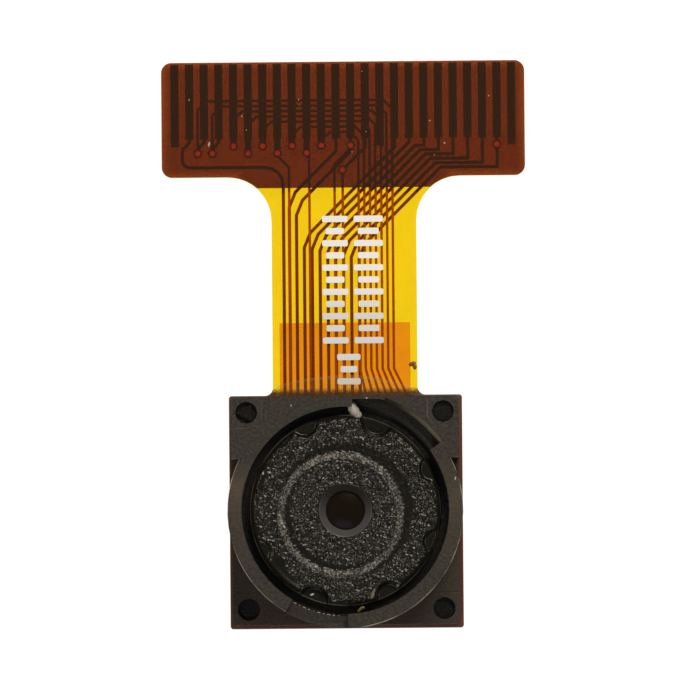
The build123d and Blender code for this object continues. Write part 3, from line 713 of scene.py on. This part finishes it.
# Patches that vary how strong the painted highlights are.
highlight_patches = ramp(tree, noise(tree, barrel_place, HIGHLIGHT_PATCH_MM), *HIGHLIGHT_PATCH_RANGE)
specks = ramp(tree, noise(tree, barrel_place, SPECK_MM, 0.0), *SPECK_RANGE, *SPECK_SHARE)
# Painted glints: the ridge's pale tone is speckled grain by grain.
painted_ridge_glints = maths(tree, "MULTIPLY", maths(tree, "MAXIMUM", highlight_patches, HIGHLIGHT_PATCH_LEAST), specks)
# Painted light: the cone is palest on its side away from the neck, which faces the north lamp.
cone_lit_side = ramp(tree, split(tree, barrel_place)["Y"], *CONE_FADE, *CONE_SHARE)
# Distance, its middle and half width in mm, share of the tone, and the tone.
painted_highlight_rings = (
    (from_centre, RIDGE_RADIUS, 0.115, painted_ridge_glints, "#86847f"),
    (from_axis, APERTURE_RADIUS + LIP_WIDTH / 2, 0.12, cone_lit_side, "#4e4d4f"),
    # Painted highlight: a pale line on the barrel's outermost edge.
    (from_axis, barrel_radius, 0.03, highlight_patches, "#4a4840"))
coat = barrel_colour
for distance, middle, half_width, amount, tone in painted_highlight_rings:
    ring = all_of(tree, (distance, "COMPARE", middle, half_width))
    coat = blend(tree, maths(tree, "MULTIPLY", ring, amount), coat, linear(tone))
tree.links.new(coat, barrel_shader.inputs["Base Color"])
print("barrel wear:", len(painted_highlight_rings), "rings from", len(tree.nodes), "nodes")

# %% [markdown]
# Metals and dull solids share one recipe: two tones mixed by noise, which also varies the
# roughness. Rolled copper inside the film looks dull and red-brown. The contacts are gold
# plated on their bare side and dark where they are bonded, so the face's own direction
# chooses. The back plate is rolled steel with fine lines along the rolling direction.

# %% Metals
STREAK_SPREAD, FACING_UP = 0.08, 0.5


def streaked(name, dark, pale, roughness, metallic, grain_mm, stretch=(1.0, 1.0, 1.0)):
    """Two tones mixed by noise, stretched along one axis, which also varies the roughness."""
    material, tree, place, output = start_material(name)
    drawn = add(tree, "ShaderNodeMapping", {"Vector": place, "Scale": stretch})
    streak = noise(tree, drawn.outputs["Vector"], grain_mm, 3.0)
    smoothest, roughest = roughness - STREAK_SPREAD, roughness + STREAK_SPREAD
    shader = surface(tree, output, {
        "Base Color": blend(tree, streak, linear(dark), linear(pale)),
        "Roughness": ramp(tree, streak, 0.0, 1.0, smoothest, roughest), "Metallic": metallic})
    return material, tree, shader, output


# Copper: red-brown lines through the film, the rear layer darker than the front.
front_copper = streaked("etched front copper", "#9d3e1a", "#ad4820", 0.5, 0.1, 0.1)[0]
rear_copper = streaked("etched rear copper", "#702410", "#7e2b15", 0.5, 0.1, 0.1)[0]
# Steel: a grey sheen drawn out along the rolling lines.
steel = streaked(
    "rolled stainless steel", "#8b8984", "#b9b7b1", 0.34, 1.0, 0.08, (1.0, 0.06, 1.0))[0]
# Solder: small bright silvery balls.
solder = streaked("reflowed solder", "#a8a8a6", "#c9c9c6", 0.3, 1.0, 0.05)[0]
# Gold: a warm mirror on the bare side, almost black under the glue.
gold, tree, shader, output = streaked("gold-plated copper", "#d9a441", "#efc063", 0.26, 1.0, 0.12)
bonded = add(tree, "ShaderNodeBsdfPrincipled", {"Base Color": linear("#241a14"), "Roughness": 0.7})
facing = split(tree, add(tree, "ShaderNodeNewGeometry").outputs["True Normal"])
sides = add(tree, "ShaderNodeMixShader", {
    "Fac": maths(tree, "GREATER_THAN", facing["Z"], FACING_UP),
    1: shader.outputs["BSDF"], 2: bonded.outputs["BSDF"]})
tree.links.new(sides.outputs["Shader"], output.inputs["Surface"])
print("metals:", [metal.name for metal in (front_copper, rear_copper, steel, solder, gold)])

# %% [markdown]
# Clear parts: coated lenses and filters throw back a purple or green tint, which is the
# thin coating at work, and the principled shader's own thin film gives just that. The
# small opaque things, from ceramic to ink, use the two-tone recipe above.

# %% Glass, ceramic, silicon and glues
SMEAR_MM, SMEAR_ROUGHNESS, GLASS_IOR, COATING_IOR = 0.8, (0.08, 0.2), 1.54, 1.38


def coated_glass(name, colour, coating_nm, passes):
    """Glass with a thin coating: transmission of the given colour and a film in nanometres."""
    material, tree, place, output = start_material(name)
    rough = ramp(tree, noise(tree, place, SMEAR_MM), 0.0, 1.0, *SMEAR_ROUGHNESS)
    surface(tree, output, {
        "Base Color": linear(colour), "Roughness": rough, "IOR": GLASS_IOR,
        "Transmission Weight": passes, "Thin Film Thickness": coating_nm,
        "Thin Film IOR": COATING_IOR})
    return material


# Lenses: a deep brown hole with a bluish glint. Filter: greenish. Cover glass: colourless.
lens_plastic = coated_glass("coated optical plastic", "#453b2b", 100.0, 0.85)
filter_glass = coated_glass("infra-red cut glass", "#7fb7a8", 330.0, 0.8)
cover_glass = coated_glass("sensor cover glass", "#dfe8e6", 150.0, 0.9)
# Ceramic: tan and dull. Silicon: violet-grey and shiny. Dam resin: plain black.
ceramic = streaked("fired capacitor ceramic", "#8a6a48", "#a78258", 0.55, 0.0, 0.06)[0]
silicon = streaked("polished silicon", "#2c2a36", "#4a3f5c", 0.2, 0.6, 0.02)[0]
dam_resin = streaked("dark dam resin", "#1a1a1a", "#262626", 0.5, 0.0, 0.1)[0]
# Glues: a chalky lump, a thin grey-green veil and a clear yellow spot.
white_glue = streaked("cured white locking glue", "#574d43", "#d6d2cb", 0.4, 0.0, 0.3)[0]
glue_smear = streaked("thin smear of locking glue", "#3c3c31", "#75745f", 0.4, 0.0, 0.12)[0]
yellow_glue = streaked("cured yellow glue", "#a89a30", "#f2e890", 0.35, 0.0, 0.12)[0]
# Ink: flat cool white. Residue: a brown shiny stain. Dust: pale specks.
white_ink = streaked("screen-printed white ink", "#e4e6ec", "#f6faff", 0.6, 0.0, 0.05)[0]
brown_resin = streaked("brown flux residue", "#6e3f0c", "#94601a", 0.35, 0.0, 0.06)[0]
pale_dust = streaked("pale plastic dust", "#7f7b72", "#c4c0b4", 0.5, 0.0, 0.05)[0]
print("materials so far:", len(bpy.data.materials))

# %% [markdown]
# A plated hole lets a little light from the bright ground up through the film stack, so
# under the brown film each one is a dull red dot. The caps are small domes on the front
# pads, and they glow a little, since the copper below them would keep that light out.


# %% Plated hole caps
def dome_rings(place, half, height, turn, rows=5, columns=20):
    """Rings of flat domes: cos(a) times the half sizes outward, sin(a) times the height up.

    place is (number, 3), half (number, 2), height and turn (number); turn is in degrees.
    """
    a = np.radians(np.linspace(0, 84, rows))[None, :, None]
    u = np.linspace(0, 2 * np.pi, columns, endpoint=False)[None, None]
    place, half = np.asarray(place, float), np.asarray(half, float)
    turn = np.radians(np.broadcast_to(turn, len(place)))[:, None, None]
    height = np.broadcast_to(height, len(place))[:, None, None]
    across = np.cos(a) * np.cos(u) * half[:, :1, None]
    along = np.cos(a) * np.sin(u) * half[:, 1:, None]
    x = place[:, 0, None, None] + across * np.cos(turn) - along * np.sin(turn)
    y = place[:, 1, None, None] + across * np.sin(turn) + along * np.cos(turn)
    z = place[:, 2, None, None] + height * np.sin(a) + 0 * u
    return np.stack([x, y, z], axis=-1)


# Holes are counted in contacts from the left; two of them are moved to the left.
CONTACT_PITCH, CONTACT_MIDDLE = 0.5, 11.5
UPPER_HOLES, LOWER_HOLES, MOVED_HOLES = (4, 6, 8, 10, 12, 22), (5, 7, 9), (2, 3)
UPPER_Y, LOWER_Y, MOVED_BY, NECK_HOLE = 12.515, 12.27, 0.22, (-0.031, 11.68)
CAP_RADIUS, CAP_HEIGHT, CAP_SINK = 0.092, 0.015, 0.001
in_place, moved = len(UPPER_HOLES + LOWER_HOLES), len(MOVED_HOLES)
upper, lower = len(UPPER_HOLES), len(LOWER_HOLES + MOVED_HOLES)
hole_x = np.array(UPPER_HOLES + LOWER_HOLES + MOVED_HOLES) - CONTACT_MIDDLE
hole_x = hole_x * CONTACT_PITCH - np.repeat([0.0, MOVED_BY], [in_place, moved])
hole_y = np.repeat([UPPER_Y, LOWER_Y], [upper, lower])
holes = np.vstack([np.stack([hole_x, hole_y], axis=1), [NECK_HOLE]])
pad_top = box_mm("front_traces")[1][2]
hole_place = np.column_stack([holes, np.full(len(holes), pad_top - CAP_SINK)])

# Light through a hole: a hazy red glow, uneven from hole to hole.
HAZE_MM, GLOW = 0.08, (1.3, 2.7)
plated_hole, tree, place, output = start_material("light through a plated hole")
surface(tree, output, {
    "Base Color": linear("#b5532f"), "Roughness": 0.4, "Emission Color": (1.0, 0.3, 0.36, 1.0),
    "Emission Strength": ramp(tree, noise(tree, place, HAZE_MM), 0.0, 1.0, *GLOW)})
cap_rings = dome_rings(hole_place, np.full((len(holes), 2), CAP_RADIUS), CAP_HEIGHT, 0.0)
piece_from_rings("plated_hole_caps", cap_rings, plated_hole)

# %% [markdown]
# The bead of clear epoxy where the neck leaves the head steadies the bend. It could be a
# sculpted blob. Here one cross-section, a hollow curve from the wall down to a small
# rounded toe, is carried across the neck while its reach waves gently.

# %% Clear epoxy bead
bead_low, bead_high = box_mm("neck_epoxy_fillet")
SECTIONS, SECTION_POINTS = 60, 14
END_REACH, LESS_AT_RIGHT, SWELL, WAVER = 0.45, 0.08, 0.42, 0.02
TOE, HOLLOW, ROUND = 0.05, 2.2, 6
TOE_HIGHLIGHT_FADE, TOE_HIGHLIGHT_SHARE = (0.052, 0.04), 0.1
across = np.linspace(bead_low[0], bead_high[0], SECTIONS)[:, None]
share = (across - bead_low[0]) / (bead_high[0] - bead_low[0])
reach = END_REACH - LESS_AT_RIGHT * share + SWELL * np.sin(np.pi * share)
reach = reach + WAVER * np.sin(9 * share + 1)
v = np.linspace(0, 1, SECTION_POINTS)[None]
bead_y = bead_low[1] + reach * v
bead_z = film_top + (bead_high[2] - film_top - TOE) * (1 - v) ** HOLLOW
bead_z = bead_z + TOE * np.sqrt(1 - v ** ROUND)
top_line = np.stack(np.broadcast_arrays(across, bead_y, bead_z), axis=2)
foot = np.stack([across, 0 * across + bead_low[1], 0 * across + film_top], axis=2)
bead_rings = np.concatenate([foot, top_line], axis=1)
# Epoxy: almost invisible, but for a faint pale line along its toe, a painted highlight.
toe_highlight = ("Z", (film_top + TOE_HIGHLIGHT_FADE[0]) * MM, (film_top + TOE_HIGHLIGHT_FADE[1]) * MM, TOE_HIGHLIGHT_SHARE)
clear_epoxy = film_material(
    "clear cast epoxy", (0.985, 0.975, 0.94), "#cdb98a", 0.03, painted_band=toe_highlight)
epoxy_bead = piece_from_rings(
    "epoxy_bead", bead_rings, clear_epoxy, smooth_angle=50.0)
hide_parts("neck_epoxy_fillet")

# %% [markdown]
# Glue locks the barrel after focusing: a whitish lump of three run-together drops that
# climbs out of the groove to the barrel's edge, a small yellow one across from it, and
# two thin smears on the face. Drops are ellipsoids whose radius a few sine waves push in
# and out, leaned over so that they look run rather than turned.


# %% Locking glue
def drop_rings(centre, half, lean, waves, rows=18, columns=36):
    """One closed drop: (cos v cos u, cos v sin u, sin v) times half sizes, radius waved.

    The radius is 1 + waves * (sin(2 u + 1) cos v + sin(3 u + 4 v)) / 2, and a point at
    height sin v moves by lean * sin v in the plan.
    """
    v = np.radians(np.linspace(-86, 86, rows))[:, None]
    u = np.linspace(0, 2 * np.pi, columns, endpoint=False)[None]
    radius = 1 + waves * (np.sin(2 * u + 1) * np.cos(v) + np.sin(3 * u + 4 * v)) / 2
    unit = np.stack([np.cos(v) * np.cos(u), np.cos(v) * np.sin(u), np.sin(v) + 0 * u], axis=2)
    leaned = np.sin(v)[..., None] * np.array([*lean, 0.0])
    return np.array(centre) + radius[..., None] * unit * np.array(half) + leaned


GLUE_ANGLE = 60.0
glue_lumps = np.stack([
    drop_rings((0.26, 3.47, 4.62), (0.165, 0.20, 0.27), (-0.02, 0.04), 0.06),
    drop_rings((0.33, 3.35, 4.67), (0.165, 0.18, 0.24), (0.02, 0.0), 0.06),
    drop_rings((0.43, 3.23, 4.74), (0.145, 0.14, 0.19), (0.04, -0.03), 0.06),
])
lock_glue = piece_from_rings(
    "lock_glue_lump", glue_lumps, white_glue, smooth_angle=GLUE_ANGLE)
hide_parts("focus_lock_glue")
yellow_rings = drop_rings((0.50, -3.35, 4.55), (0.07, 0.06, 0.26), (0.10, 0.09), 0.25)
piece_from_rings(
    "lock_glue_fleck", yellow_rings, yellow_glue, smooth_angle=GLUE_ANGLE)
smear_rings = dome_rings(
    [(1.80, -2.48, 4.84), (0.93, -2.80, 4.91)], [(0.17, 0.07), (0.22, 0.08)],
    height=[0.08, 0.06], turn=[50.0, 65.0])
piece_from_rings(
    "lock_glue_smears", smear_rings, glue_smear, smooth_angle=GLUE_ANGLE)

# %% [markdown]
# White screen print on the neck is a plain scale of bars in three short columns. It could
# be a colour in the film's material, but real ink has an edge, so each bar is a thin slab
# with rounded corners that sits a hair into the film.

# %% Printed bars
BAR_PITCH, BAR_LENGTH, BAR_CORNER, SHORT_BAR = 0.415, 0.22, 0.06, 0.72
INK_THICKNESS, INK_SINK, INK_EDGE = 0.012, 0.001, 0.006
# Middle, width, height of the first bar, number of bars.
BAR_COLUMNS = ((-0.31, 0.88, 5.85, 11), (0.83, 1.0, 5.85, 11), (0.13, 0.8, 4.45, 3))
bar_rings = []
for middle, width, start, count in BAR_COLUMNS:
    for bar in range(count):
        half_width = width / 2 * (1.0 if bar % 2 == 0 else SHORT_BAR)
        left, right = middle - half_width, middle + half_width
        low_y = start + BAR_PITCH * bar - BAR_LENGTH / 2
        high_y = low_y + BAR_LENGTH
        corner_points = [(left, low_y), (right, low_y), (right, high_y), (left, high_y)]
        bar_rings.append(sheet_rings(
            *rounded_outline(corner_points, [BAR_CORNER] * 4, steps=5),
            film_top - INK_SINK, film_top + INK_THICKNESS, INK_EDGE, steps=2))
piece_from_rings("printed_bars", np.stack(bar_rings), white_ink)

# %% [markdown]
# Last small things: a drop of brown residue at the neck's right edge, a broken burr along
# the inner edge of the notch whose pale colour is a painted highlight, and a few pale
# flecks of dust on the head and the tongue. All are low domes, and none stands out past
# the part's own box by more than a speck of dust would.

# %% Residue, burr and flecks
RESIDUE_HEIGHT, FLECK_HEIGHT = 0.03, 0.006
residue_rings = dome_rings(
    [(2.30, 5.03, film_top), (2.38, 4.93, film_top)], [(0.13, 0.08), (0.07, 0.1)],
    RESIDUE_HEIGHT, turn=[20.0, 0.0])
piece_from_rings("flux_residue", residue_rings, brown_resin)

# The burr's pale colour is a painted highlight along the notch's inner edge.
BURR_RADIUS, BURR_Z, BURR_HALF, BURR_HEIGHT = 3.56, 4.65, 0.013, 0.02
BURR_LENGTHS = np.tile([0.06, 0.03, 0.07, 0.045, 0.02], 2)
burr_angle = np.linspace(241.0, 266.0, len(BURR_LENGTHS))
burr_turn = np.radians(burr_angle)
burr_place = np.column_stack([
    BURR_RADIUS * np.cos(burr_turn), BURR_RADIUS * np.sin(burr_turn),
    np.full_like(burr_turn, BURR_Z)])
burr_half = np.column_stack([np.full_like(burr_turn, BURR_HALF), BURR_LENGTHS])
burr_rings = dome_rings(burr_place, burr_half, BURR_HEIGHT, burr_angle)
piece_from_rings("notch_burr", burr_rings, pale_dust)

# Place in x, y and z, then half sizes; on the tongue z is the top of the stiffener.
HEAD_FLECKS = np.array([
    (-1.15, -2.83, 4.62, 0.07, 0.03), (-2.76, 1.27, 4.92, 0.03, 0.045),
    (3.72, 1.05, 5.10, 0.025, 0.06), (-1.80, 3.55, 5.10, 0.025, 0.03),
    (0.75, 3.78, 5.10, 0.03, 0.025)])
TONGUE_FLECKS = np.array([
    (-5.25, 14.10, 0.013, 0.04), (-3.45, 13.53, 0.02, 0.022), (-3.30, 13.06, 0.015, 0.018),
    (-4.58, 12.58, 0.028, 0.09), (-1.51, 14.08, 0.013, 0.035), (0.66, 15.03, 0.015, 0.016),
    (4.98, 14.16, 0.02, 0.022), (2.96, 13.33, 0.018, 0.02), (3.46, 12.56, 0.026, 0.028),
    (0.30, 12.28, 0.02, 0.016), (0.78, 12.97, 0.015, 0.014), (3.11, 12.16, 0.014, 0.017)])
LONG_FLECK, LONG_TURN, SHORT_TURN = 0.05, 20.0, -12.0
tongue_top = box_mm("finger_stiffener")[1][2]
flecks = np.vstack([HEAD_FLECKS, np.insert(TONGUE_FLECKS, 2, tongue_top, axis=1)])
fleck_turn = np.where(flecks[:, 3] > LONG_FLECK, LONG_TURN, SHORT_TURN)
fleck_rings = dome_rings(flecks[:, :3], flecks[:, 3:], FLECK_HEIGHT, fleck_turn)
piece_from_rings("dust_flecks", fleck_rings, pale_dust)

# %% [markdown]
# The CAD pieces whose shape is already right stay, and take the finishes made above.
# Drawing them a second time would add nothing but the risk of a mismatch.

# %% Finishes for the CAD pieces that stay
finishes = {
    "front_traces": front_copper, "rear_traces": rear_copper, "contact_fingers": gold,
    "via_barrels": front_copper, "finger_stiffener": brown_film, "neck_patch": patch_film,
    "lens_holder": holder_plastic, "holder_adhesive": glue_black, "filter_adhesive": glue_black,
    "head_stiffener": steel, "solder_balls": solder, "sensor_die": silicon,
    "sensor_dam": dam_resin, "sensor_cover_glass": cover_glass, "ir_cut_filter": filter_glass,
    "chip_capacitors": ceramic, "lens_element_1": lens_plastic, "lens_element_2": lens_plastic,
    "lens_element_3": lens_plastic, "light_shield_1": shield_black, "light_shield_2": shield_black,
    "lens_retainer": shield_black,
}
for node_name, finish in finishes.items():
    mesh = nodes[node_name].data
    mesh.materials.clear()
    mesh.materials.append(finish)
print("finishes on", len(finishes), "CAD pieces")
